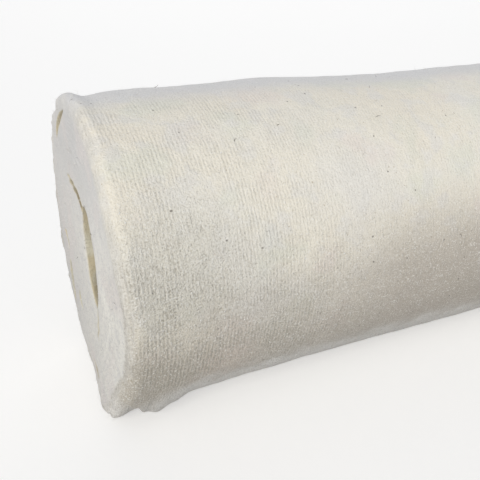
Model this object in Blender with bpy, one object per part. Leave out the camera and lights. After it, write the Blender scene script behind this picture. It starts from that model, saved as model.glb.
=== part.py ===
"""Roll of stitch-bonded cotton cloth, wound round an open eye with no core.

The roll lies along X on a flat spot on its underside, with its front along -Y. It is one solid,
and the loose end of the outer turn is a thin sheet that lies against its lower front and curls
out to the floor in one corner. Angles run in degrees from straight up, positive to the front.
"""

import math
from collections import namedtuple

import bmesh
import bpy

# Driving dimensions, in metres
CLOTH_WIDTH = 0.800
ROLL_RADIUS = 0.115
FLAT_SAG = 0.007  # how far the roll's own weight presses its underside flat
FLOOR_BLEND = 0.003
RIM_ROUNDING = 0.006
AXIS_HEIGHT = ROLL_RADIUS - FLAT_SAG

# Loose end: the last stretch of the outer turn
LOOSE_THICKNESS = 0.002
LOOSE_GAP = 0.0008  # between the loose end and the turn below it
LOOSE_START = 118.0  # degrees
SEAM_GAP = 0.0006  # between the loose end and the rest of its turn
SEAM_STEP = 0.08  # degrees over which the roll steps down at the seam
SIDE_INSET = 0.0008  # loose end drawn in from each side of the cloth

# Mesh density
COLUMNS = 80
FACE_RINGS = (0.10, 0.28, 0.46, 0.64, 0.82)
ROUNDING_STEPS = 3
BODY_STATIONS = 23
EYE_STATIONS = 6
LOOSE_STATIONS = 40
LOOSE_STEPS = 8

# Eye: a leaning ellipse off the roll's axis, open from end to end
EYE_BACK = -0.0250
EYE_UP = 0.0070
EYE_HALF_WIDTH = 0.0155
EYE_HALF_HEIGHT = 0.0370
EYE_LEAN = 10.5  # degrees, its foot towards the front
EYE_WAIST = 0.92  # size of the eye half-way along, where the turns close in

# Uneven places of the wound surface: height, the angle and the distance from the near end where
# each is highest, and how far it spreads both ways
Swell = namedtuple("Swell", "height angle angle_spread along along_spread")
SWELLS = (
    Swell(height=0.0030, angle=-12, angle_spread=30, along=0.001, along_spread=0.009),
    Swell(height=-0.0026, angle=-8, angle_spread=26, along=0.016, along_spread=0.010),
    Swell(height=0.0012, angle=-8, angle_spread=30, along=0.046, along_spread=0.024),
    Swell(height=0.0020, angle=-8, angle_spread=50, along=0.144, along_spread=0.055),
    Swell(height=-0.0012, angle=-12, angle_spread=45, along=0.262, along_spread=0.045),
    Swell(height=0.0016, angle=20, angle_spread=40, along=0.420, along_spread=0.080),
    Swell(height=-0.0018, angle=-25, angle_spread=35, along=0.590, along_spread=0.070),
    Swell(height=0.0022, angle=-5, angle_spread=30, along=0.795, along_spread=0.014),
    Swell(height=-0.0012, angle=-56, angle_spread=24, along=0.020, along_spread=0.045),
    Swell(height=0.0018, angle=78, angle_spread=16, along=0.006, along_spread=0.012),
    Swell(height=0.0090, angle=150, angle_spread=15, along=0.000, along_spread=0.024),
    Swell(height=0.0035, angle=-148, angle_spread=16, along=0.004, along_spread=0.028),
    Swell(height=0.0040, angle=146, angle_spread=16, along=0.798, along_spread=0.026),
    Swell(height=-0.0020, angle=60, angle_spread=34, along=0.700, along_spread=0.090),
    Swell(height=0.0018, angle=-95, angle_spread=30, along=0.330, along_spread=0.090),
    Swell(height=-0.0016, angle=-110, angle_spread=34, along=0.560, along_spread=0.080),
)
HAUNCH_SWELL = 0.0010  # both sides bulge above the flat
HAUNCH_ANGLE = 114.0
HAUNCH_SPREAD = 18.0

# Where an end of the roll stands proud (plus) or sunk (minus), at full strength on the rim
Drift = namedtuple("Drift", "proud angle angle_spread")
NEAR_DRIFTS = (
    Drift(proud=0.0068, angle=151, angle_spread=21),
    Drift(proud=0.0012, angle=-30, angle_spread=24),
    Drift(proud=-0.0020, angle=96, angle_spread=26),
    Drift(proud=0.0012, angle=60, angle_spread=22),
)
FAR_DRIFTS = (
    Drift(proud=0.0035, angle=175, angle_spread=40),
    Drift(proud=-0.0025, angle=40, angle_spread=40),
)
DRIFT_REACH = 0.050  # how far along the roll an end's drift fades out
FACE_SINK = 0.0035  # how deep the face dips beside the eye
PUFF_HEIGHT = 0.0022  # soft rings of the face between the eye and the rim

# Gaps between the turns that stand open in the near end: points across (back) and up from the axis
Slit = namedtuple("Slit", "points width depth")
SLITS = (
    Slit(
        points=((0.024, 0.054), (0.010, 0.0525), (-0.006, 0.046), (-0.020, 0.034), (-0.028, 0.020)),
        width=0.0048,
        depth=0.016,
    ),
    Slit(
        points=((-0.034, -0.020), (-0.031, -0.032), (-0.022, -0.042), (-0.012, -0.048)),
        width=0.0036,
        depth=0.012,
    ),
    Slit(
        points=((0.060, -0.014), (0.066, -0.029), (0.068, -0.044), (0.064, -0.060)),
        width=0.0040,
        depth=0.012,
    ),
    Slit(
        points=((0.018, 0.100), (0.036, 0.090), (0.050, 0.080), (0.060, 0.070)),
        width=0.0036,
        depth=0.010,
    ),
    Slit(points=((-0.002, -0.088), (-0.018, -0.090), (-0.032, -0.088)), width=0.0028, depth=0.008),
)
CUTTER_OVERHANG = 0.030

# Free edge of the loose end: how far below its seam it reaches and how far it stands off the
# roll, at distances from the near end
Edge = namedtuple("Edge", "along reach lift")
FREE_EDGE = (
    Edge(along=0.000, reach=0.014, lift=0.0006),
    Edge(along=0.014, reach=0.026, lift=0.0010),
    Edge(along=0.025, reach=0.046, lift=0.0050),
    Edge(along=0.038, reach=0.065, lift=0.0098),
    Edge(along=0.056, reach=0.059, lift=0.0056),
    Edge(along=0.084, reach=0.052, lift=0.0014),
    Edge(along=0.180, reach=0.055, lift=0.0008),
    Edge(along=0.330, reach=0.049, lift=0.0014),
    Edge(along=0.480, reach=0.054, lift=0.0006),
    Edge(along=0.640, reach=0.050, lift=0.0016),
    Edge(along=0.760, reach=0.055, lift=0.0026),
    Edge(along=0.800, reach=0.048, lift=0.0042),
)


def clear_scene():
    for thing in list(bpy.data.objects):
        bpy.data.objects.remove(thing, do_unlink=True)


def cloth_material(name, colour, roughness):
    material = bpy.data.materials.new(name)
    material.use_nodes = True
    shader = material.node_tree.nodes["Principled BSDF"]
    shader.inputs["Base Color"].default_value = (*colour, 1.0)
    shader.inputs["Roughness"].default_value = roughness
    shader.inputs["Metallic"].default_value = 0.0
    return material


def bell(distance, spread):
    """Smooth bump that is 1 at no distance and falls away over the spread."""
    return math.exp(-((distance / spread) ** 2))


def turned(angle, centre):
    """Angle from a centre, the short way round."""
    return (angle - centre + 180.0) % 360.0 - 180.0


def outer_radius(angle, along):
    """Radius of the outer turn, as if it ran all the way round."""
    radius = ROLL_RADIUS
    for swell in SWELLS:
        across = bell(turned(angle, swell.angle), swell.angle_spread)
        radius += swell.height * across * bell(along - swell.along, swell.along_spread)
    for side in (-1, 1):
        radius += HAUNCH_SWELL * bell(turned(angle, side * HAUNCH_ANGLE), HAUNCH_SPREAD)
    return radius


def turn_drop(angle):
    """How far the wound surface lies below the outer turn: a full layer just past the seam, and
    nothing where the turn comes round to the seam again."""
    past_seam = (angle - LOOSE_START) % 360.0
    if past_seam == 0.0:
        return 0.0
    return (LOOSE_THICKNESS + LOOSE_GAP) * (1.0 - past_seam / 360.0)


def drift(drifts, angle):
    return sum(d.proud * bell(turned(angle, d.angle), d.angle_spread) for d in drifts)


def on_floor(height):
    """Height above the floor, pressed flat where the roll would sink into it."""
    if height <= -FLOOR_BLEND:
        return 0.0
    if height >= FLOOR_BLEND:
        return height
    return (height + FLOOR_BLEND) ** 2 / (4.0 * FLOOR_BLEND)


def section_point(angle, radius, along):
    """Point of the roll from its angle and radius, with the near end at no distance along."""
    turn = math.radians(angle)
    x = along
    x -= drift(NEAR_DRIFTS, angle) * bell(along, DRIFT_REACH)
    x += drift(FAR_DRIFTS, angle) * bell(CLOTH_WIDTH - along, DRIFT_REACH)
    return (x, -radius * math.sin(turn), on_floor(AXIS_HEIGHT + radius * math.cos(turn)))


def eye_point(angle, size, along):
    """Point of the eye's wall that faces an angle."""
    turn, lean = math.radians(angle), math.radians(EYE_LEAN)
    across = -EYE_HALF_WIDTH * size * math.sin(turn)
    up = EYE_HALF_HEIGHT * size * math.cos(turn)
    y = EYE_BACK + across * math.cos(lean) + up * math.sin(lean)
    z = AXIS_HEIGHT + EYE_UP + up * math.cos(lean) - across * math.sin(lean)
    return (along, y, z)


def face_point(angle, fraction, end):
    """Point of an end face, part of the way from the eye to the start of the rim's rounding."""
    near = end == 0.0
    inward = 1.0 if near else -1.0
    rim = section_point(angle, outer_radius(angle, end) - turn_drop(angle) - RIM_ROUNDING, end)
    eye = eye_point(angle, 1.0, end)
    dip = FACE_SINK * (1.0 - fraction) ** 2
    puff = PUFF_HEIGHT * math.sin(math.pi * fraction) * (0.6 + 0.4 * math.sin(math.radians(2 * angle)))
    x = end + (rim[0] - end) * fraction**2 + inward * (dip - puff)
    return (x, eye[1] + (rim[1] - eye[1]) * fraction, eye[2] + (rim[2] - eye[2]) * fraction)


def column_angles():
    """Angles of the mesh's columns, two of which stand each side of the seam's step."""
    pitch = 360.0 / COLUMNS
    angles = [LOOSE_START + pitch * column for column in range(COLUMNS)]
    return [angles[0], angles[0] + SEAM_STEP] + angles[1:]


def roll_rings():
    """Closed rings that run over the near face, along the roll, over the far face and back
    through the eye."""
    angles = column_angles()

    def skin(along, inset):
        return [section_point(a, outer_radius(a, along) - turn_drop(a) - inset, along) for a in angles]

    rounding = []
    for step in range(ROUNDING_STEPS + 1):
        turn = math.pi / 2 * step / ROUNDING_STEPS
        rounding.append((RIM_ROUNDING * (1 - math.cos(turn)), RIM_ROUNDING * (1 - math.sin(turn))))

    rings = [[eye_point(a, 1.0, 0.0) for a in angles]]
    rings += [[face_point(a, fraction, 0.0) for a in angles] for fraction in FACE_RINGS]
    rings += [skin(along, inset) for along, inset in rounding]
    middle = CLOTH_WIDTH / 2
    for station in range(1, BODY_STATIONS):
        # stations stand closer together towards both ends, where the roll is most uneven
        sweep = -math.cos(math.pi * station / BODY_STATIONS)
        rings.append(skin(middle + (middle - RIM_ROUNDING) * sweep, 0.0))
    rings += [skin(CLOTH_WIDTH - along, inset) for along, inset in reversed(rounding)]
    rings += [[face_point(a, fraction, CLOTH_WIDTH) for a in angles] for fraction in reversed(FACE_RINGS)]
    for station in range(EYE_STATIONS):
        share = station / EYE_STATIONS
        size = 1.0 - (1.0 - EYE_WAIST) * math.sin(math.pi * share)
        rings.append([eye_point(a, size, CLOTH_WIDTH * (1.0 - share)) for a in angles])
    return rings


def lofted(name, rings, closed):
    """Mesh skinned over rings of equal count, which close on the first ring or on end caps."""
    shape = bmesh.new()
    rows = [[shape.verts.new(point) for point in ring] for ring in rings]
    pairs = list(zip(rows, rows[1:]))
    if closed:
        pairs.append((rows[-1], rows[0]))
    for row, following in pairs:
        for i in range(len(row)):
            j = (i + 1) % len(row)
            shape.faces.new((row[i], row[j], following[j], following[i]))
    if not closed:
        shape.faces.new(list(reversed(rows[0])))
        shape.faces.new(rows[-1])
    bmesh.ops.recalc_face_normals(shape, faces=shape.faces)
    mesh = bpy.data.meshes.new(name)
    shape.to_mesh(mesh)
    shape.free()
    return mesh


def placed(name, mesh, material):
    piece = bpy.data.objects.new(name, mesh)
    bpy.context.scene.collection.objects.link(piece)
    mesh.materials.append(material)
    mesh.shade_smooth()
    mesh.set_sharp_from_angle(angle=math.radians(40))
    return piece


def slit_cutter(name, slit):
    """Curved blade, widest half-way, that stands through the near face."""
    count = len(slit.points)
    sides = ([], [])
    for i, (back, up) in enumerate(slit.points):
        before, after = slit.points[max(i - 1, 0)], slit.points[min(i + 1, count - 1)]
        run = (after[0] - before[0], after[1] - before[1])
        length = math.hypot(*run)
        half = slit.width / 2 * (0.25 + 0.75 * math.sin(math.pi * i / (count - 1)))
        for side, sign in zip(sides, (1, -1)):
            across = (-sign * half * run[1] / length, sign * half * run[0] / length)
            side.append((back + across[0], AXIS_HEIGHT + up + across[1]))
    outline = sides[0] + list(reversed(sides[1]))
    rings = [[(x, y, z) for y, z in outline] for x in (-CUTTER_OVERHANG, slit.depth)]
    cutter = bpy.data.objects.new(name, lofted(name, rings, closed=False))
    bpy.context.scene.collection.objects.link(cutter)
    cutter.hide_render = True
    cutter.display_type = "WIRE"
    return cutter


def build_roll():
    cloth = cloth_material("stitched_cloth", (0.71, 0.67, 0.59), 0.95)
    roll = placed("roll", lofted("roll", roll_rings(), closed=True), cloth)
    for number, slit in enumerate(SLITS, 1):
        cut = roll.modifiers.new(f"slit_{number}", "BOOLEAN")
        cut.operation = "DIFFERENCE"
        cut.solver = "EXACT"
        cut.object = slit_cutter(f"slit_cutter_{number}", slit)
    return roll


def edge_at(along):
    """Reach and lift of the loose end's free edge, eased between the rows of its table."""
    for low, high in zip(FREE_EDGE, FREE_EDGE[1:]):
        if along <= high.along:
            share = (along - low.along) / (high.along - low.along)
            ease = share * share * (3.0 - 2.0 * share)
            return low.reach + (high.reach - low.reach) * ease, low.lift + (high.lift - low.lift) * ease
    return FREE_EDGE[-1].reach, FREE_EDGE[-1].lift


def loose_section(along):
    """Closed outline of the loose end at one distance: down its outer side and up its inner one."""
    reach, edge_lift = edge_at(along)
    sides = ([], [])
    for step in range(LOOSE_STEPS + 1):
        share = step / LOOSE_STEPS
        run = SEAM_GAP + reach * share
        angle = LOOSE_START + math.degrees(run / ROLL_RADIUS)
        radius = outer_radius(angle, along) + edge_lift * share**2
        sides[0].append(section_point(angle, radius, along))
        sides[1].append(section_point(angle, radius - LOOSE_THICKNESS, along))
    return sides[0] + list(reversed(sides[1]))


def build_loose_end():
    cloth = cloth_material("loose_cloth", (0.66, 0.63, 0.57), 0.95)
    stations = []
    for station in range(LOOSE_STATIONS + 1):
        # closer together at the near end, where the corner curls out
        share = (station / LOOSE_STATIONS) ** 1.7
        stations.append(SIDE_INSET + (CLOTH_WIDTH - 2 * SIDE_INSET) * share)
    rings = [loose_section(along) for along in stations]
    return placed("loose_end", lofted("loose_end", rings, closed=False), cloth)


def centre_over_origin(pieces):
    """Shift every piece so that the whole object's box stands centred on the origin."""
    bpy.context.view_layer.update()
    corners = [vertex.co for piece in pieces for vertex in piece.data.vertices]
    x, y = ((min(c[i] for c in corners) + max(c[i] for c in corners)) / 2 for i in (0, 1))
    for piece in bpy.data.objects:
        for vertex in piece.data.vertices:
            vertex.co.x -= x
            vertex.co.y -= y


def main():
    clear_scene()
    pieces = [build_roll(), build_loose_end()]
    centre_over_origin(pieces)


main()
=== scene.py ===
import math
import random

import bmesh
import bpy
from mathutils import Matrix, Vector, noise


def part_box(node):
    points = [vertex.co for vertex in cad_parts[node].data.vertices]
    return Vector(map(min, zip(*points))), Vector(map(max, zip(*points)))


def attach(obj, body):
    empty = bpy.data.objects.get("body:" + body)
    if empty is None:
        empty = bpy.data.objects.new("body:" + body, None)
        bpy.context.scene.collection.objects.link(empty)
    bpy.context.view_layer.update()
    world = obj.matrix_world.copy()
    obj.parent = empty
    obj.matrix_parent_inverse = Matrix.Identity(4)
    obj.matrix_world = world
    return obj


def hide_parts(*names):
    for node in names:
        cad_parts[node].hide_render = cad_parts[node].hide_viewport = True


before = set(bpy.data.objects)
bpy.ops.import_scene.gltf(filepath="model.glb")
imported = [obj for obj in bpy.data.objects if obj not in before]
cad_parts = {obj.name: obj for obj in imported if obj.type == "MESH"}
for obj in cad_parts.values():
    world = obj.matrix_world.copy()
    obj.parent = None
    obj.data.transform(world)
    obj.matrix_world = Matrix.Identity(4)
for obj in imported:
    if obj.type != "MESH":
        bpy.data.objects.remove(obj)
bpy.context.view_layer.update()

rollLow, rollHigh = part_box("roll")

# The wound form, in metres and degrees. Angles run from straight up, positive to the front (-Y).
# Distances along start at the end that shows.
woundForm = {
    "clothWidth": 0.800,
    "radius": 0.115,
    "axisHeight": 0.108,
    "floorBlend": 0.003,
    "rimRounding": 0.0085,
    "layer": 0.0028,  # step down past the seam of the loose end
    "seamAngle": 118.0,
    "haunch": (0.0010, 114.0, 18.0),  # height, angle, spread
    "driftReach": 0.050,
    "faceSink": 0.0002,
    "facePuff": 0.0024,
    "eyeBack": -0.0250,
    "eyeUp": 0.0070,
    "eyeHalfWidth": 0.0155,
    "eyeHalfHeight": 0.0370,
    "eyeLean": 10.5,
    "eyeWaist": 0.92,
}
nearProud = 0.00674  # how far the showing end's lower corner stands out
nearEndX = rollLow[0] + nearProud
axisY = (rollLow[1] + rollHigh[1]) / 2 + 0.0004

# height, angle, spread of angle, distance along, spread along
swells = (
    (0.0030, -12, 30, 0.001, 0.009),
    (-0.0016, -8, 26, 0.016, 0.010),
    (0.0012, -8, 30, 0.046, 0.024),
    (0.0020, -8, 50, 0.144, 0.055),
    (-0.0012, -12, 45, 0.262, 0.045),
    (0.0016, 20, 40, 0.420, 0.080),
    (-0.0018, -25, 35, 0.590, 0.070),
    (0.0022, -5, 30, 0.795, 0.014),
    (-0.0012, -56, 24, 0.020, 0.045),
    (0.0018, 78, 16, 0.006, 0.012),
    (0.0090, 150, 15, 0.000, 0.024),
    (0.0035, -148, 16, 0.004, 0.028),
    (0.0040, 146, 16, 0.798, 0.026),
    (-0.0020, 60, 34, 0.700, 0.090),
    (0.0018, -95, 30, 0.330, 0.090),
    (-0.0016, -110, 34, 0.560, 0.080),
)
# proud, angle, spread of angle
nearDrifts = ((0.0068, 151, 21), (0.0012, -30, 24), (-0.0020, 96, 26), (0.0012, 60, 22))
farDrifts = ((0.0035, 175, 40), (-0.0025, 40, 40))


def bell(distance, spread):
    return math.exp(-((distance / spread) ** 2))


def turned(angle, centre):  # angle from a centre, the short way round
    return (angle - centre + 180.0) % 360.0 - 180.0


def smooth(low, high, value):
    share = min(max((value - low) / (high - low), 0.0), 1.0)
    return share * share * (3.0 - 2.0 * share)


def outerRadius(angle, along):
    radius = woundForm["radius"]
    for height, centre, spread, place, reach in swells:
        radius += height * bell(turned(angle, centre), spread) * bell(along - place, reach)
    height, centre, spread = woundForm["haunch"]
    return radius + sum(height * bell(turned(angle, side * centre), spread) for side in (-1, 1))


def turnDrop(angle):  # a full layer just past the seam, nothing where the turn meets it again
    pastSeam = (angle - woundForm["seamAngle"]) % 360.0
    return 0.0 if pastSeam == 0.0 else woundForm["layer"] * (1.0 - pastSeam / 360.0)


def endDrift(drifts, angle):
    return sum(proud * bell(turned(angle, centre), spread) for proud, centre, spread in drifts)


def onFloor(height):
    blend = woundForm["floorBlend"]
    if height <= -blend:
        return 0.0
    return height if height >= blend else (height + blend) ** 2 / (4.0 * blend)


def sectionPoint(angle, radius, along):
    turn, width, reach = math.radians(angle), woundForm["clothWidth"], woundForm["driftReach"]
    x = along - endDrift(nearDrifts, angle) * bell(along, reach)
    x += endDrift(farDrifts, angle) * bell(width - along, reach)
    height = onFloor(woundForm["axisHeight"] + radius * math.cos(turn))
    return Vector((nearEndX + x, axisY - radius * math.sin(turn), height))


def eyePoint(angle, size, along):
    turn, lean = math.radians(angle), math.radians(woundForm["eyeLean"])
    across = -woundForm["eyeHalfWidth"] * size * math.sin(turn)
    up = woundForm["eyeHalfHeight"] * size * math.cos(turn)
    y = woundForm["eyeBack"] + across * math.cos(lean) + up * math.sin(lean)
    z = woundForm["axisHeight"] + woundForm["eyeUp"] + up * math.cos(lean) - across * math.sin(lean)
    return Vector((nearEndX + along, axisY + y, z))


# Gaps that stand open between turns: points (back, up) from the axis, width, depth, painted shade
nearSlits = (
    {
        "points": ((0.024, 0.054), (0.010, 0.0525), (-0.006, 0.046), (-0.016, 0.037), (-0.024, 0.030)),
        "width": 0.0052,
        "depth": 0.010,
        "shade": 0.85,
    },
    {
        "points": ((-0.034, -0.022), (-0.0355, -0.034), (-0.035, -0.046), (-0.032, -0.056)),
        "width": 0.0034,
        "depth": 0.003,
        "shade": 0.30,
    },
    {
        "points": ((0.052, -0.026), (0.058, -0.040), (0.058, -0.055), (0.052, -0.070)),
        "width": 0.0130,
        "depth": 0.003,
        "shade": 0.66,
    },
    {
        "points": ((0.012, 0.103), (0.030, 0.095), (0.044, 0.086), (0.054, 0.076)),
        "width": 0.0050,
        "depth": 0.006,
        "shade": 0.60,
    },
    {
        "points": ((-0.002, -0.088), (-0.018, -0.090), (-0.032, -0.088)),
        "width": 0.0026,
        "depth": 0.005,
        "shade": 0.5,
    },
    {
        "points": ((0.022, -0.041), (0.024, -0.048), (0.020, -0.056)),
        "width": 0.0056,
        "depth": 0.002,
        "shade": 0.55,
    },
    {
        "points": ((0.064, -0.004), (0.054, -0.010), (0.058, -0.019)),
        "width": 0.0060,
        "depth": 0.002,
        "shade": 0.66,
    },
    {
        "points": ((-0.012, -0.113), (-0.024, -0.116), (-0.036, -0.114)),
        "width": 0.0028,
        "depth": 0.004,
        "shade": 0.4,
    },
)


def offSlit(slit, back, up):  # distance from a slit's middle line, and the share of its length there
    points = slit["points"]
    nearest, share = 1.0, 0.0
    for i, (start, end) in enumerate(zip(points, points[1:])):
        dy, dz = end[0] - start[0], end[1] - start[1]
        t = ((back - start[0]) * dy + (up - start[1]) * dz) / (dy * dy + dz * dz)
        t = min(max(t, 0.0), 1.0)
        distance = math.hypot(back - start[0] - t * dy, up - start[1] - t * dz)
        if distance < nearest:
            nearest, share = distance, (i + t) / (len(points) - 1)
    return nearest, share


def slitAt(back, up):  # how deep the slits are at a place, and how much painted shade they and their lips take
    depth, shade = 0.0, 0.0
    for slit in nearSlits:
        nearest, share = offSlit(slit, back, up)
        half = slit["width"] / 2 * (0.25 + 0.75 * math.sin(math.pi * share))
        if nearest < half:
            depth = max(depth, slit["depth"] * (1.0 - (nearest / half) ** 2) ** 0.8)
            shade = max(shade, slit["shade"])
        else:
            lip = bell(nearest - half, clothSettings["slitLip"]) * math.sin(math.pi * (0.1 + 0.8 * share))
            shade = max(shade, slit["shade"] * lip)
    return depth, shade


# Relief of the felted cloth: size of the lumps in 1/m, height in metres
feltRelief = ((13.0, 0.00100), (42.0, 0.00052), (120.0, 0.00030))


def feltLift(place):
    return sum(height * noise.noise(place * size) for size, height in feltRelief)


clothSettings = {
    "columns": 300,
    "faceRings": 36,
    "farFaceRings": 18,
    "roundingSteps": 8,
    "stretches": ((0.0085, 0.100, 45), (0.100, 0.400, 50), (0.400, 0.7915, 44)),  # from, to, rings
    "eyeStretches": ((0.0, 0.004, 3), (0.004, 0.030, 8), (0.030, 0.770, 14), (0.770, 0.800, 5)),
    "plainEye": 0.020,  # radius of the eye before it is drawn to its lens shape
    "slitMargin": 0.0060,
    "rimMargin": 0.0110,  # the rim that shows has finer faces this far along
    "bands": 9.0,  # groups of turns that stand a little proud of each other
    "bandHeight": 0.0006,
    "tatters": ((0.0004, 330.0), (0.0006, 150.0), (0.0017, 55.0)),  # the rim's rags: height, size in 1/m
    "tatterReach": 0.0065,
    # strength, angle, spread
    "lips": ((1.0, 84, 9), (0.5, 118, 6), (0.30, 24, 8), (0.30, -70, 14), (0.9, 152, 9)),
    "lipDepth": 0.0028,
    "lipPlace": (0.78, 0.13),  # share of the rim's rounding, spread
    "slitLip": 0.0012,  # painted shade along the edges of the open gaps
}


def faceMap(angle, fraction, near):
    # a place on an end face, from the eye to the start of the rim's rounding
    s = clothSettings
    width = woundForm["clothWidth"]
    end, inward = (0.0, 1.0) if near else (width, -1.0)
    rim = sectionPoint(angle, outerRadius(angle, end) - turnDrop(angle) - woundForm["rimRounding"], end)
    eye = eyePoint(angle, 1.0, end)
    flat = eye.lerp(rim, fraction)
    dip = woundForm["faceSink"] * (1.0 - fraction) ** 2
    around = 0.6 + 0.4 * math.sin(math.radians(2 * angle))
    puff = woundForm["facePuff"] * math.sin(math.pi * fraction) * around
    phase = fraction * s["bands"] - angle / 360.0
    patch = 0.5 + 0.5 * noise.noise(Vector((end * 9.0, flat.y * 26.0, flat.z * 26.0)))
    band = s["bandHeight"] * patch * math.sin(2 * math.pi * phase) * math.sin(math.pi * fraction)
    back, up = flat.y - axisY, flat.z - woundForm["axisHeight"]
    depth, shade = slitAt(back, up) if near else (0.0, 0.0)
    lumps = feltLift(Vector((flat.x * 3.0, flat.y, flat.z))) * 1.1
    x = nearEndX + end + (rim.x - nearEndX - end) * fraction**2
    atEye = smooth(0.0, 0.05, fraction)
    x += inward * (dip - puff - band - lumps + depth * atEye)
    return Vector((x, flat.y, flat.z)), shade * (0.55 + 0.45 * atEye)


def lipStrength(angle):  # where the outer turn's side edge stands off the turns inside it
    lips = clothSettings["lips"]
    return sum(much * bell(turned(angle, centre), spread) for much, centre, spread in lips)


def skinMap(angle, along, inset, roundShare):
    # a place on the wound side: inset and roundShare (1 on the face, 0 on the side) carry the rim
    s = clothSettings
    width = woundForm["clothWidth"]
    radius = outerRadius(angle, along) - turnDrop(angle) - inset
    plain = sectionPoint(angle, radius, along)
    rim = bell(min(along, width - along), s["tatterReach"])
    tatter = sum(height * noise.noise(plain * size) for height, size in s["tatters"])
    lipMiddle, lipSpread = s["lipPlace"]
    groove = s["lipDepth"] * lipStrength(angle) * bell(roundShare - lipMiddle, lipSpread)
    groove *= 0.8 + 0.8 * noise.noise(plain * 110.0)
    outward = -1.0 if along < width / 2 else 1.0
    point = sectionPoint(angle, radius + feltLift(plain) + rim * tatter - 0.5 * groove, along)
    point.x += outward * (rim * tatter - groove)
    return point


def woundCloth():
    s = clothSettings
    width, rim, rounding = woundForm["clothWidth"], woundForm["radius"], woundForm["rimRounding"]
    eye = s["plainEye"]
    shape = bmesh.new()

    def run(start, end, rings):  # a straight stretch of the profile, cut into even rings
        ends = [shape.verts.new((start[0], 0.0, start[1])), shape.verts.new((end[0], 0.0, end[1]))]
        edge = shape.edges.new(ends)
        bmesh.ops.subdivide_edges(shape, edges=[edge], cuts=rings - 1)

    def rimArc(end):  # quarter round, its steps an even turn apart
        inward = 1.0 if end == 0.0 else -1.0
        steps = s["roundingSteps"]

        def placeAt(step):
            turn = math.pi / 2 * step / steps
            return end + inward * rounding * (1 - math.cos(turn)), rim - rounding * (1 - math.sin(turn))

        for step in range(steps):
            run(placeAt(step), placeAt(step + 1), 1)

    run((0.0, eye), (0.0, rim - rounding), s["faceRings"])
    rimArc(0.0)
    for start, end, rings in s["stretches"]:
        run((start, rim), (end, rim), rings)
    rimArc(width)
    run((width, rim - rounding), (width, eye), s["farFaceRings"])
    for start, end, rings in s["eyeStretches"]:
        run((start, eye), (end, eye), rings)
    bmesh.ops.remove_doubles(shape, verts=shape.verts, dist=1e-5)
    bmesh.ops.spin(
        shape,
        geom=shape.verts[:] + shape.edges[:],
        axis=(1, 0, 0),
        cent=(0, 0, 0),
        angle=2 * math.pi,
        steps=s["columns"],
        use_merge=True,
    )
    # finer faces along the open gaps and the rim that shows
    slitEdges, rimEdges = set(), set()
    for face in shape.faces:
        centre = face.calc_center_median()
        out = math.hypot(centre.y, centre.z)
        if centre.x < s["rimMargin"] and out > rim - rounding - 0.004:
            rimEdges.update(face.edges)
        elif centre.x < 1e-4 and out > eye + 1e-4:
            fraction = min((out - eye) / (rim - rounding - eye), 1.0)
            place = faceMap(math.degrees(math.atan2(-centre.y, centre.z)), fraction, True)[0]
            back, up = place.y - axisY, place.z - woundForm["axisHeight"]
            if min(offSlit(slit, back, up)[0] for slit in nearSlits) < s["slitMargin"]:
                slitEdges.update(face.edges)
    bmesh.ops.subdivide_edges(shape, edges=list(slitEdges - rimEdges), cuts=2, use_grid_fill=True)
    bmesh.ops.subdivide_edges(shape, edges=list(rimEdges), cuts=1, use_grid_fill=True)
    zone = shape.verts.layers.float.new("edgeZone")
    # how much painted shade the eye and the slits take
    hollowShade = shape.verts.layers.float.new("hollowShade")
    rowShift = shape.verts.layers.float.new("rowShift")  # keeps the rows' pitch over the rounding
    for vert in shape.verts:
        x, across = vert.co.x, math.hypot(vert.co.y, vert.co.z)
        angle = math.degrees(math.atan2(-vert.co.y, vert.co.z))
        atNear, atFar = x < 1e-4, x > width - 1e-4
        if across < eye + 2e-4 and not (atNear or atFar):
            vert.co, vert[hollowShade] = eyeMap(angle, x)
            vert[zone] = 1.0
        elif atNear or atFar:
            fraction = min((across - eye) / (rim - rounding - eye), 1.0)
            vert.co, vert[hollowShade] = faceMap(angle, fraction, atNear)
            outward = -1.0 if atNear else 1.0
            offRim = (1.0 - fraction) * (rim - rounding) * 0.6
            vert[rowShift] = outward * ((math.pi / 2 - 1.0) * rounding + offRim)
            spill = smooth(0.93, 1.01, fraction + 0.03 * noise.noise(vert.co * 150.0))
            vert[zone] = 1.0 - 0.6 * spill
        else:
            toEnd = min(x, width - x)
            roundShare = 1.0 - min(toEnd / rounding, 1.0)
            inset = rounding - math.sqrt(max(rounding**2 - (roundShare * rounding) ** 2, 0.0))
            outward = -1.0 if x < width / 2 else 1.0
            vert[rowShift] = outward * rounding * (math.asin(roundShare) - roundShare)
            vert.co = skinMap(angle, x, inset, roundShare)
            tatter = noise.noise(vert.co * 120.0)
            vert[zone] = 0.4 * smooth(0.70, 1.0, roundShare + 0.4 * tatter)
    bmesh.ops.recalc_face_normals(shape, faces=shape.faces)
    return finished("woundCloth", shape, stitchedCloth())


def eyeMap(angle, along):
    # the eye's wall, with long soft pleats and the ledge of the innermost turn's end, and its painted shade,
    # darker deeper in and lower down
    width = woundForm["clothWidth"]
    size = 1.0 - (1.0 - woundForm["eyeWaist"]) * math.sin(math.pi * along / width)
    crumple = noise.noise(Vector((along * 9, angle / 24, 3.0)))
    pleat = 0.035 * math.sin(math.radians(5 * angle + 40.0)) + 0.06 * crumple
    inside = smooth(0.0, 0.012, min(along, width - along))
    ledge = 0.05 * smooth(0.0, 4.0, turned(angle, 35.0)) * smooth(0.0, 30.0, 60.0 - turned(angle, 35.0))
    point = eyePoint(angle, size + inside * (pleat - ledge), along)
    toEnd = min(along, width - along)
    sink = woundForm["faceSink"] * (1.0 - smooth(0.0, 0.030, toEnd))  # the mouth lies where the face dips
    point.x += sink if along < width / 2 else -sink
    # painted shade, heavier on the lower part of the eye
    low = 0.31 * smooth(0.010, -0.022, point.z - woundForm["axisHeight"])
    return point, 0.34 + 0.16 * smooth(0.0, 0.006, toEnd) + (0.3 + low) * smooth(0.004, 0.045, toEnd) + low


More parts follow.
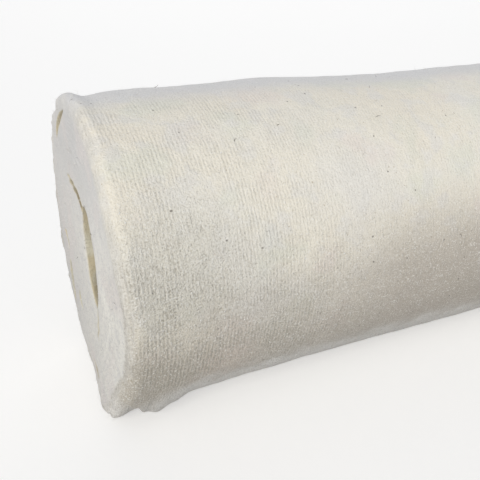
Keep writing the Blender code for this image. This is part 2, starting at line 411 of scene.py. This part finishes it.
def asMesh(name, shape):
    mesh = bpy.data.meshes.new(name)
    shape.to_mesh(mesh)
    shape.free()
    return mesh


def finished(name, shape, material):
    mesh = asMesh(name, shape)
    piece = bpy.data.objects.new(name, mesh)
    bpy.context.scene.collection.objects.link(piece)
    mesh.materials.append(material)
    mesh.shade_smooth()
    return piece


def tellTriangles(piece):
    print(piece.name, "triangles:", sum(len(face.vertices) - 2 for face in piece.data.polygons))


# Free edge of the loose end: distance along, reach below the seam, lift off the roll
freeEdge = (
    (0.000, 0.016, 0.0010),
    (0.012, 0.030, 0.0014),
    (0.022, 0.046, 0.0036),
    (0.033, 0.056, 0.0080),
    (0.042, 0.052, 0.0052),
    (0.054, 0.048, 0.0014),
    (0.080, 0.047, 0.0006),
    (0.180, 0.052, 0.0008),
    (0.330, 0.049, 0.0014),
    (0.480, 0.054, 0.0006),
    (0.640, 0.050, 0.0016),
    (0.760, 0.054, 0.0014),
    (0.800, 0.049, 0.0012),
)
looseSettings = {
    "columns": 280,
    "rows": 20,
    "thickness": 0.0018,
    "overlap": 0.009,  # it starts this far above the seam
    "proud": 0.00012,
    "tuck": 0.0005,  # its upper edge sinks by this much, under the outer turn's surface
    "tuckReach": 0.0045,
    "waveHeight": 0.0007,
    "sideInset": 0.0006,
    "rimFall": 0.0085,  # it rounds over with the roll's rim
    "tatter": 0.0018,
}


def edgeAt(along):
    for (low, reachA, liftA), (high, reachB, liftB) in zip(freeEdge, freeEdge[1:]):
        if along <= high:
            ease = smooth(low, high, along)
            return reachA + (reachB - reachA) * ease, liftA + (liftB - liftA) * ease
    return freeEdge[-1][1:]


def looseEnd():
    s = looseSettings
    width, radius = woundForm["clothWidth"], woundForm["radius"]
    shape = bmesh.new()
    bmesh.ops.create_grid(shape, x_segments=s["columns"], y_segments=s["rows"], size=0.5)
    fade = shape.verts.layers.float.new("ribFade")
    for vert in shape.verts:
        along = s["sideInset"] + (width - 2 * s["sideInset"]) * (vert.co.x + 0.5) ** 1.5
        share = vert.co.y + 0.5
        reach, edgeLift = edgeAt(along)
        rags = noise.noise(Vector((along * 230, 4.0, 0.0))) + noise.noise(Vector((along * 60, 9.0, 0.0)))
        reach += s["tatter"] * rags
        run = -s["overlap"] + (reach + s["overlap"]) * share
        angle = woundForm["seamAngle"] + math.degrees(run / radius)
        flat = sectionPoint(angle, outerRadius(angle, along), along)
        past = max(run / reach, 0.0)
        wave = s["waveHeight"] * noise.noise(Vector((along * 30, share * 2, 1.0))) * past
        proud = s["proud"] - s["tuck"] * smooth(s["tuckReach"], 0.0, run + s["overlap"])
        toEnd = min(along, width - along, s["rimFall"])
        fall = s["rimFall"] - math.sqrt(s["rimFall"] ** 2 - (s["rimFall"] - toEnd) ** 2)
        lift = feltLift(flat) + proud + edgeLift * past**2 + wave - fall * (1.0 - 0.5 * past)
        vert.co = sectionPoint(angle, outerRadius(angle, along) + lift, along)
        patchy = 0.25 * noise.noise(Vector((along * 50, past * 3, 5.0)))
        # the rows fade towards the free edge, where the colour takes painted bounce light
        vert[fade] = smooth(0.02, 0.45, past + patchy) * smooth(0.010, 0.030, along)
    bmesh.ops.recalc_face_normals(shape, faces=shape.faces)
    if sum(face.normal.z for face in shape.faces) > 0:
        bmesh.ops.reverse_faces(shape, faces=shape.faces)
    piece = finished("looseEnd", shape, stitchedCloth())
    wall = piece.modifiers.new("wall", "SOLIDIFY")
    wall.thickness = s["thickness"]
    wall.offset = -1.0
    soft = piece.modifiers.new("soft", "SUBSURF")
    soft.levels = soft.render_levels = 1
    return piece


class Wire:  # a node's output, on which sums add Math nodes
    def __init__(self, tree, socket=None):
        self.tree, self.socket = tree, socket

    def node(self, kind, settings=None, inputs=None, output=0):
        made = self.tree.nodes.new(kind)
        for name, value in (settings or {}).items():
            setattr(made, name, value)
        for name, value in (inputs or {}).items():
            if isinstance(value, Wire):
                self.tree.links.new(value.socket, made.inputs[name])
            else:
                made.inputs[name].default_value = value
        return Wire(self.tree, made.outputs[output])

    def sum(self, operation, *values, clamp=False):
        settings = {"operation": operation, "use_clamp": clamp}
        return self.node("ShaderNodeMath", settings, dict(enumerate(values)))

    def __add__(self, other):
        return self.sum("ADD", self, other)

    def __sub__(self, other):
        return self.sum("SUBTRACT", self, other)

    def __rsub__(self, other):
        return self.sum("SUBTRACT", other, self)

    def __mul__(self, other):
        return self.sum("MULTIPLY", self, other)

    def __truediv__(self, other):
        return self.sum("DIVIDE", self, other)

    def __pow__(self, other):
        return self.sum("POWER", self, other)

    __radd__ = __add__
    __rmul__ = __mul__

    def sine(self):
        return self.sum("SINE", self)

    def floor(self):
        return self.sum("FLOOR", self)

    def clamped(self):
        return self.sum("ADD", self, 0.0, clamp=True)

    def between(self, low, high):  # 0 at low, 1 at high, eased
        ranged = {"interpolation_type": "SMOOTHSTEP", "clamp": True}
        return self.node("ShaderNodeMapRange", ranged, {0: self, 1: low, 2: high, 3: 0.0, 4: 1.0})

    def tinted(self, factor, other, blend="MIX"):  # this colour towards another
        settings = {"data_type": "RGBA", "blend_type": blend}
        return self.node("ShaderNodeMix", settings, {0: factor, 6: self, 7: other}, output=2)


def newMaterial(name, roughness, sheen):
    material = bpy.data.materials.new(name)
    material.use_nodes = True
    tree = material.node_tree
    shader = tree.nodes["Principled BSDF"]
    shader.inputs["Roughness"].default_value = roughness
    shader.inputs["Specular IOR Level"].default_value = 0.15
    shader.inputs["Sheen Weight"].default_value = sheen
    shader.inputs["Sheen Roughness"].default_value = 0.6
    return material, Wire(tree), shader


def noiseAt(start, place, size, detail=2.0, rough=0.5):
    inputs = {"Vector": place, "Scale": size, "Detail": detail, "Roughness": rough}
    return start.node("ShaderNodeTexNoise", None, inputs)


clothLook = {
    "cotton": (0.885, 0.838, 0.728, 1.0),
    "warm": (0.885, 0.815, 0.685, 1.0),
    "cool": (0.815, 0.796, 0.762, 1.0),
    "pink": (0.865, 0.775, 0.710, 1.0),
    "green": (0.755, 0.780, 0.670, 1.0),
    # painted shade in the valleys between rows, stitches and nubs
    "valleyShade": (0.425, 0.390, 0.320, 1.0),
    "lint": (0.900, 0.883, 0.835, 1.0),
    "felt": (0.790, 0.765, 0.718, 1.0),
    # painted shade towards the back of the face that shows; also the blotches of the end faces
    "feltShadeAndBlotches": (0.690, 0.675, 0.655, 1.0),
    # painted light on the end faces, towards their lower front
    "feltPaintedLight": (0.920, 0.895, 0.825, 1.0),
    # painted shade at the top of the face that shows
    "feltTopShade": (0.650, 0.640, 0.635, 1.0),
    "feltBlush": (0.790, 0.725, 0.690, 1.0),
    # patches: middle, from the middle of the end that shows, reach, reach of the full tint
    "worked": ((0.036, -0.104, 0.030), 0.064, 0.012),  # rougher
    "workedTint": (0.745, 0.722, 0.640, 1.0),
    "blush": ((0.062, -0.094, -0.062), 0.052, 0.006),  # warmer
    "blushTint": (0.690, 0.575, 0.490, 1.0),
    "lowRimShade": ((0.010, -0.100, -0.052), 0.046, 0.016),  # painted shade, at the rim's lower front
    "lowRimShadeTint": (0.540, 0.490, 0.410, 1.0),
    # painted shade on the rounding of the rim that shows
    "rimShade": (0.725, 0.695, 0.625, 1.0),
    # painted bounce light on the smooth band along the bottom
    "underEdgeLight": (0.860, 0.850, 0.830, 1.0),
    # painted shade along the crest, grey-blue
    "crest": (0.700, 0.695, 0.705, 1.0),
    # painted shade on the underside
    "underside": (0.555, 0.508, 0.430, 1.0),
    # painted shade on the lower front of the wound side
    "farUnderShade": (0.500, 0.445, 0.385, 1.0),
    # colours of the painted shade on the walls of the eye and the slits
    "eyeShade": (0.700, 0.665, 0.530, 1.0),
    "eyeWall": (0.650, 0.575, 0.405, 1.0),
    # painted shade deepest in the slits
    "gap": (0.170, 0.130, 0.075, 1.0),
    "fleck": (0.160, 0.135, 0.110, 1.0),
    "seed": (0.450, 0.370, 0.260, 1.0),
    "ribPitch": 0.0025,
    "stitchLength": 0.0023,
    "seamRun": 0.0085,  # length over which the painted shade between two rows comes and goes
    "ribStart": (-0.010, -0.004),
    "ribsFrom": 0.075,  # the rows weaken from here
    "ribsTo": 0.20,
    "farRibs": 0.42,  # what is left of them
    "turnPitch": 0.0024,  # of the turns on the end faces
    # relief, in metres
    "ribHeight": 0.00040,
    "grainHeight": 0.00060,
    "busyGrain": 0.00075,
    "nubHeight": 0.00060,
    "busyNubs": 0.00045,
    "lumpHeight": 0.0010,
    "turnHeight": 0.00012,
    # cells per metre, reach, share of cells left plain, colour, strength
    "flecks": (
        (95.0, 0.090, 0.62, "fleck", 0.75),
        (210.0, 0.13, 0.80, "seed", 0.6),
        (60.0, 0.045, 0.50, "fleck", 0.85),
    ),
    "fleckWarp": 0.0016,  # how far their outlines are drawn about
}


def stitchedCloth():
    if "stitchedCloth" in bpy.data.materials:
        return bpy.data.materials["stitchedCloth"]
    s = clothLook
    material, start, shader = newMaterial("stitchedCloth", 0.95, 0.25)
    place = start.node("ShaderNodeTexCoord", output=3)
    x, y, z = (start.node("ShaderNodeSeparateXYZ", None, {0: place}, output=i) for i in range(3))
    edge, hollowShade, fade, rowShift = (
        start.node("ShaderNodeAttribute", {"attribute_name": name}, output=2)
        for name in ("edgeZone", "hollowShade", "ribFade", "rowShift")
    )
    broad = noiseAt(start, place, 11.0, 3.0)
    patch = noiseAt(start, place, 34.0, 3.0, 0.6)
    small = noiseAt(start, place, 120.0, 3.0, 0.6)
    nubs = noiseAt(start, place, 520.0, 3.0, 0.70)
    grain = noiseAt(start, place, 1000.0, 2.0, 0.7)

    along = x - nearEndX
    # the lower part: its rows and relief are stronger, and its colour takes painted shade
    under = z.between(0.170, 0.048)
    worked, blush, lowRimShade = (patchAt(start, place, *s[key]) for key in ("worked", "blush", "lowRimShade"))
    # busier relief underneath and in the worked patch, with more painted shade in its valleys
    busy = (under + worked * 0.5).clamped()
    side = 1.0 - edge  # 1 on the wound side, 0 on the end faces

    # rows of chain stitch run round the roll, a little wavy, each with lumps of its own
    wobble = (patch - 0.5) * 0.0024 + (small - 0.5) * 0.0007
    rowPlace = (x + rowShift + wobble) / s["ribPitch"]
    ridge = (rowPlace * (2 * math.pi) - math.pi / 2).sine() * 0.5 + 0.5
    ridge = (ridge + (nubs - 0.5) * (busy * 0.8 + 0.5)).clamped()
    row = rowPlace.floor()
    around = start.sum("ARCTAN2", y - axisY, z - woundForm["axisHeight"]) * woundForm["radius"]
    lumps = start.node("ShaderNodeCombineXYZ", None, {0: row * 13.7, 1: around / s["stitchLength"]})
    stitch = noiseAt(start, lumps, 1.0, 1.0).between(0.28, 0.68)
    runs = start.node("ShaderNodeCombineXYZ", None, {0: row * 5.3, 1: around / s["seamRun"], 2: 4.0})
    broken = noiseAt(start, runs, 1.0, 2.0, 0.6).between(0.36, 0.62)

    kept = 1.0 - along.between(s["ribsFrom"], s["ribsTo"]) * (1.0 - s["farRibs"])
    worn = patch.between(0.38, 0.58) * 0.78 + 0.22
    tattered = (along + rowShift + (small - 0.5) * 0.012).between(*s["ribStart"])
    # the cloth is smooth felt along its crest and underneath; its colour there takes painted shade along the
    # crest and painted bounce light underneath
    smoothed = start.sum("MAXIMUM", fade, (z + (small - 0.5) * 0.02).between(0.060, 0.026) * 0.85)
    crest = (y + (small - 0.5) * 0.014).between(axisY - 0.038, axisY - 0.008)
    crest = crest * z.between(0.16, 0.19) * y.between(axisY + 0.085, axisY + 0.058)
    ribs = kept * worn * tattered * (under * 0.50 + 0.50)
    ribs = ribs * side * (1.0 - smoothed * 0.9) * (1.0 - crest)
    knit = ridge * (0.30 + 0.70 * stitch)

    height = ribs * knit * s["ribHeight"] + (grain - 0.5) * (s["grainHeight"] + busy * s["busyGrain"])
    nubHeight = busy * s["busyNubs"] + s["nubHeight"]
    height = height + (nubs - 0.5) * nubHeight * (1.0 - edge * 0.2) + (small - 0.5) * s["lumpHeight"]
    out = start.sum("SQRT", (y - axisY) ** 2.0 + (z - woundForm["axisHeight"]) ** 2.0)
    turns = ((out + (small - 0.5) * 0.003) * (2 * math.pi / s["turnPitch"])).sine()
    height = height + turns * edge * patch.between(0.45, 0.66) * s["turnHeight"]
    bump = start.node("ShaderNodeBump", None, {"Strength": 1.0, "Distance": 1.0, "Height": height})
    start.tree.links.new(bump.socket, shader.inputs["Normal"])

    colour = start.node("ShaderNodeRGB")
    colour.socket.default_value = s["cotton"]
    colour = colour.tinted(broad.between(0.45, 0.70) * 0.6, s["warm"])
    colour = colour.tinted(broad.between(0.52, 0.30) * 0.6, s["cool"])
    tint = noiseAt(start, place, 24.0, 2.0)
    colour = colour.tinted(tint.between(0.54, 0.68) * (busy * 0.30 + 0.52), s["pink"])
    colour = colour.tinted(tint.between(0.44, 0.30) * 0.40, s["green"])
    colour = colour.tinted(noiseAt(start, place, 62.0, 3.0).between(0.50, 0.34) * 0.50, s["cool"])
    colour = colour.tinted(worked * 0.55, s["workedTint"])
    colour = colour.tinted(edge * 0.85, s["felt"])
    # painted light: the end faces lighter towards their lower front
    front = y.between(axisY + 0.03, axisY - 0.07) * z.between(-0.03, 0.06)
    colour = colour.tinted(edge * front * 0.95, s["feltPaintedLight"])
    nearFace = edge * along.between(0.5, 0.4)  # the end that shows
    # painted shade on the face that shows: darker at its top and towards the back
    colour = colour.tinted(nearFace * z.between(0.12, 0.19) * 0.80, s["feltTopShade"])
    colour = colour.tinted(nearFace * y.between(axisY - 0.02, axisY + 0.07) * 0.75, s["feltShadeAndBlotches"])
    # blotches on the end faces, darker where the lumps sit low
    colour = colour.tinted(edge * small.between(0.54, 0.34) * 0.55, s["feltShadeAndBlotches"])
    colour = colour.tinted(edge * tint.between(0.50, 0.66) * 0.55, s["feltBlush"])
    # darker in the nubs' low spots on the end faces
    colour = colour.tinted(edge * nubs.between(0.47, 0.33) * 0.75, s["feltTopShade"])
    # painted shade on the underside, stronger further along the roll
    shadeBelow = under * side * (along.between(0.14, 0.30) * 0.60 + 0.40)
    colour = colour.tinted(shadeBelow, s["underside"])
    # painted shade on the lower front: far along the roll, near the end that shows, and lowest down
    shadedFront = y.between(axisY + 0.06, axisY - 0.02) * side  # to the front
    colour = colour.tinted(shadedFront * z.between(0.172, 0.100) * along.between(0.12, 0.23) * 0.72, s["farUnderShade"])
    colour = colour.tinted(shadedFront * z.between(0.130, 0.098) * along.between(0.02, 0.06) * 0.32, s["farUnderShade"])
    colour = colour.tinted(shadedFront * z.between(0.092, 0.050) * 0.40, s["farUnderShade"])
    # painted shade on the rounding of the rim that shows
    colour = colour.tinted((rowShift * -1.0).between(0.00002, 0.0006) * side * 0.70, s["rimShade"])
    colour = colour.tinted(blush * side * 0.55, s["blushTint"])
    # painted bounce light on the smooth band along the bottom
    colour = colour.tinted(smoothed * side * 0.85, s["underEdgeLight"])
    # painted shade at the rim's lower front, kept off the end face
    colour = colour.tinted(lowRimShade * (1.0 - edge * 1.7).clamped() * 0.90, s["lowRimShadeTint"])
    # painted shade along the crest, grey-blue
    colour = colour.tinted(crest * side * 0.8, s["crest"])
    # painted shade in the valleys: between the rows, in the nubs' low spots, and between the stitches
    seamShade = ribs * (1.0 - ridge) ** 1.6 * (broken * 0.60 + 0.04)
    pitShade = nubs.between(0.46, 0.30) * (busy * 0.50 + 0.16) * (1.0 - edge * 0.75)
    stitchGapShade = ribs * (1.0 - stitch) * (1.0 - ridge * 0.5) * (busy * 0.60 + 0.12)
    colour = colour.tinted((seamShade + pitShade + stitchGapShade).clamped(), s["valleyShade"])
    colour = colour.tinted(grain.between(0.54, 0.66) * (busy * 0.40 + 0.60) * (1.0 - edge * 0.5), s["lint"])
    # darker in the low spots of the fine grain, more underneath
    colour = colour.tinted(grain.between(0.43, 0.32) * (busy * 0.60 + 0.32) * (1.0 - edge * 0.6), s["valleyShade"])
    # painted shade in ragged spots along the lower half of the rim
    rags = edge.between(0.34, 0.50) * edge.between(0.95, 0.62) * z.between(0.150, 0.115)  # low on the rim
    colour = colour.tinted(rags * nubs.between(0.55, 0.42) * 0.60, s["valleyShade"])
    nudge = {0: noiseColour(start, place, 500.0), 1: (s["fleckWarp"],) * 3, 2: place}
    warped = start.node("ShaderNodeVectorMath", {"operation": "MULTIPLY_ADD"}, nudge)
    for size, reach, plain, key, strength in s["flecks"]:
        cell = {"Vector": warped, "Scale": size}
        near = start.node("ShaderNodeTexVoronoi", None, cell, output=0)
        cellColour = start.node("ShaderNodeTexVoronoi", None, cell, output=1)
        chance = start.node("ShaderNodeSeparateColor", None, {0: cellColour}).between(plain, plain + 0.02)
        colour = colour.tinted(near.between(reach, reach * 0.5) * chance * strength, s[key])
    # painted shade on the walls of the eye and the slits, darkest deep in the slits
    wall = start.node("ShaderNodeRGB")
    wall.socket.default_value = s["eyeWall"]
    wall = wall.tinted(patch.between(0.42, 0.60), s["eyeShade"])
    colour = colour.tinted(hollowShade.between(0.0, 0.45), wall)
    colour = colour.tinted(hollowShade.between(0.50, 1.0) * 0.9, s["gap"])
    start.tree.links.new(colour.socket, shader.inputs["Base Color"])
    return material


def patchAt(start, place, spot, reach, core):  # 1 around a spot, 0 past its reach
    middle = Vector((nearEndX, axisY, woundForm["axisHeight"])) + Vector(spot)
    away = start.node("ShaderNodeVectorMath", {"operation": "DISTANCE"}, {0: place, 1: middle}, output=1)
    return away.between(reach, core)


def noiseColour(start, place, size):
    return start.node("ShaderNodeTexNoise", None, {"Vector": place, "Scale": size, "Detail": 1.0}, output=1)


fluffSettings = {
    "seed": 11,
    "fibres": 2600,
    "fibreLength": (0.0020, 0.0062),
    "fibreThickness": 0.00016,
    "fibreLean": (50.0, 84.0),  # degrees from upright
    "fibreColour": (0.86, 0.845, 0.80, 1.0),
    "nubs": 1100,
    "nubSize": (0.00025, 0.00065),
    "nubColour": (0.86, 0.85, 0.81, 1.0),
    "hairs": 150,
    "hairLength": (0.0015, 0.0045),
    "hairThickness": 0.00030,
    "hairColour": (0.16, 0.135, 0.11, 1.0),
    "nearReach": 0.13,  # the end that shows is fluffier this far along
    "eyeReach": (0.03, 0.05),  # back and up, no fluff this near the eye's middle
    "mouth": 0.004,  # but for this far in
    "lowest": 0.001,  # nor on faces under this height
    "floorClearance": 0.0002,
}


def curledFibre(curl, thickness):  # a fibre 1 long that stands on the origin and curls over
    shape = bmesh.new()
    bmesh.ops.create_cone(
        shape,
        cap_ends=True,
        cap_tris=False,
        segments=3,
        radius1=thickness / 2,
        radius2=thickness / 5,
        depth=1.0,
    )
    sides = [edge for edge in shape.edges if abs(edge.verts[0].co.z - edge.verts[1].co.z) > 0.5]
    bmesh.ops.subdivide_edges(shape, edges=sides, cuts=3, use_grid_fill=True)
    for vert in shape.verts:
        share = vert.co.z + 0.5
        turn = math.radians(curl) * share
        reach = 1.0 / math.radians(curl)
        bend = Vector((reach * (1.0 - math.cos(turn)), 0.08 * math.sin(5.0 * share), reach * math.sin(turn)))
        vert.co = bend + Vector((vert.co.x * math.cos(turn), vert.co.y, -vert.co.x * math.sin(turn)))
    bmesh.ops.recalc_face_normals(shape, faces=shape.faces)
    return asMesh("fibrePattern", shape)


def lintNub():
    shape = bmesh.new()
    bmesh.ops.create_icosphere(shape, subdivisions=1, radius=1.0)
    bmesh.ops.scale(shape, vec=(1.25, 0.85, 0.6), verts=shape.verts)
    return asMesh("nubPattern", shape)


def scattered(name, patterns, count, carriers, weigh, lean, size, sink, dice, material):
    # stamps patterns on the faces of the carriers, turned and leant at random
    faces = [face for carrier in carriers for face in carrier.data.polygons]
    picked = dice.choices(faces, weights=[face.area * weigh(face) for face in faces], k=count)
    shape = bmesh.new()
    for face in picked:
        first = len(shape.verts)
        shape.from_mesh(dice.choice(patterns), face_normals=False, vertex_normals=False)
        shape.verts.ensure_lookup_table()
        stretch = dice.uniform(*size)
        matrix = Matrix.Translation(face.center - face.normal * sink)
        matrix @= face.normal.to_track_quat("Z", "Y").to_matrix().to_4x4()
        matrix @= Matrix.Rotation(dice.uniform(0.0, 2 * math.pi), 4, "Z")
        matrix @= Matrix.Rotation(math.radians(dice.uniform(*lean)), 4, "Y")
        matrix @= Matrix.Rotation(dice.uniform(0.0, 2 * math.pi), 4, "Z") @ Matrix.Scale(stretch, 4)
        bmesh.ops.transform(shape, matrix=matrix, verts=shape.verts[first:])
    for vert in shape.verts:  # nothing passes through the floor
        vert.co.z = max(vert.co.z, fluffSettings["floorClearance"])
    for pattern in patterns:
        bpy.data.meshes.remove(pattern)
    return finished(name, shape, material)


def plainFibre(name, colour, roughness, sheen):
    material, start, shader = newMaterial(name, roughness, sheen)
    place = start.node("ShaderNodeTexCoord", output=3)
    base = start.node("ShaderNodeRGB")
    base.socket.default_value = colour
    darker = tuple(0.82 * part for part in colour[:3]) + (1.0,)
    shade = base.tinted(noiseAt(start, place, 300.0, 1.0).between(0.35, 0.65), darker)
    start.tree.links.new(shade.socket, shader.inputs["Base Color"])
    return material


def fluff(carriers):
    s = fluffSettings
    dice = random.Random(s["seed"])

    def plain(face):  # inside the eye or next to the floor
        back, up = face.center.y - axisY - woundForm["eyeBack"], face.center.z - woundForm["axisHeight"]
        inside = abs(back) < s["eyeReach"][0] and abs(up) < s["eyeReach"][1]
        first, last = nearEndX + s["mouth"], nearEndX + woundForm["clothWidth"] - s["mouth"]
        return inside and first < face.center.x < last or face.center.z < s["lowest"]

    def fibreWeight(face):
        if plain(face):
            return 0.0
        toNear = face.center.x - nearEndX
        return 1.0 + 3.0 * (toNear < s["nearReach"]) + 3.0 * bell(toNear - 0.003, 0.007)

    def nubWeight(face):
        if plain(face):
            return 0.0
        toNear = face.center.x - nearEndX
        low = smooth(0.17, 0.05, face.center.z)
        return 0.4 + 2.5 * low * smooth(0.30, 0.05, toNear) + 1.6 * bell(toNear - 0.006, 0.006)

    def hairWeight(face):
        return 0.0 if plain(face) else 1.0

    def fibrePatterns(length, thickness):
        return [curledFibre(curl, thickness / length) for curl in (40.0, 80.0, 130.0, 190.0)]

    meanFibre = sum(s["fibreLength"]) / 2
    fibres = scattered(
        "liftedFibres", fibrePatterns(meanFibre, s["fibreThickness"]), s["fibres"], carriers, fibreWeight,
        s["fibreLean"], s["fibreLength"], 0.0002, dice, plainFibre("looseCotton", s["fibreColour"], 0.9, 0.3),
    )
    nubs = scattered(
        "lintNubs", [lintNub()], s["nubs"], carriers, nubWeight,
        (0.0, 12.0), s["nubSize"], 0.0001, dice, plainFibre("lintWool", s["nubColour"], 0.95, 0.3),
    )
    meanHair = sum(s["hairLength"]) / 2
    hairs = scattered(
        "strayHairs", fibrePatterns(meanHair, s["hairThickness"]), s["hairs"], carriers, hairWeight,
        (78.0, 89.0), s["hairLength"], 0.0, dice, plainFibre("seedTrash", s["hairColour"], 0.8, 0.0),
    )
    for piece in (fibres, nubs, hairs):
        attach(piece, "root")
        tellTriangles(piece)


print("stage: wound cloth")
cloth = woundCloth()
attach(cloth, "root")
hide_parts("roll")
tellTriangles(cloth)

print("stage: loose end")
loose = looseEnd()
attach(loose, "root")
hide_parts("loose_end")

print("stage: fluff")
fluff((cloth, loose))


stageSettings = {
    "lens": 589.4 / 480 * 36,
    "sensorWidth": 36.0,
    "cameraFromNearEnd": (-0.0652, -0.4057, 0.1835),  # from the middle of the end that shows
    "forward": (0.39394, 0.82752, -0.40003),
    "up": (0.1719, 0.3612, 0.9165),
    "floorSize": 40.0,
    "floorDrop": 0.0003,  # so that it doesn't cut the roll's flat spot
    "floor": (0.64, 0.63, 0.61, 1.0),
    "floorGlow": 0.44,
    "world": (0.89, 0.95, 1.06, 1.0),
    "worldStrength": 0.395,
    # from which side, strength, spread in degrees, colour
    "lights": {
        "key": ((-0.57, -0.67, 0.475), 2.25, 34.0, (1.0, 0.970, 0.915)),
        "fill": ((0.45, 0.88, 0.05), 1.5, 50.0, (1.0, 0.985, 0.960)),
    },
}


def studio():
    s = stageSettings
    shape = bmesh.new()
    bmesh.ops.create_grid(shape, x_segments=1, y_segments=1, size=s["floorSize"])
    bmesh.ops.translate(shape, vec=(0, 0, -s["floorDrop"]), verts=shape.verts)
    material, _, shader = newMaterial("paleFloor", 0.9, 0.0)
    shader.inputs["Base Color"].default_value = s["floor"]
    shader.inputs["Emission Color"].default_value = (1.0, 1.0, 1.0, 1.0)
    shader.inputs["Emission Strength"].default_value = s["floorGlow"]
    floor = finished("floor", shape, material)
    # the floor's own glow keeps it pale, and doesn't light the roll
    lit = bpy.data.collections.new("litByFloor")
    lit.objects.link(floor)
    floor.light_linking.receiver_collection = lit

    world = bpy.data.worlds.new("studio")
    world.use_nodes = True
    world.node_tree.nodes["Background"].inputs["Color"].default_value = s["world"]
    world.node_tree.nodes["Background"].inputs["Strength"].default_value = s["worldStrength"]
    bpy.context.scene.world = world

    for name, (side, strength, spread, colour) in s["lights"].items():
        lamp = bpy.data.lights.new(name, "SUN")
        lamp.energy, lamp.angle, lamp.color = strength, math.radians(spread), colour
        light = bpy.data.objects.new(name, lamp)
        light.location = side
        light.rotation_euler = (-Vector(side)).to_track_quat("-Z", "Y").to_euler()
        bpy.context.scene.collection.objects.link(light)

    camera = bpy.data.objects.new("camera", bpy.data.cameras.new("camera"))
    camera.data.lens, camera.data.sensor_width = s["lens"], s["sensorWidth"]
    camera.data.clip_start = 0.01
    forward, up = Vector(s["forward"]).normalized(), Vector(s["up"]).normalized()
    side = forward.cross(up).normalized()
    place = Vector((nearEndX, axisY, woundForm["axisHeight"])) + Vector(s["cameraFromNearEnd"])
    camera.matrix_world = Matrix.Translation(place) @ Matrix((side, up, -forward)).transposed().to_4x4()
    bpy.context.scene.collection.objects.link(camera)
    bpy.context.scene.camera = camera
    bpy.context.scene.view_settings.view_transform = "Standard"


print("stage: studio")
studio()
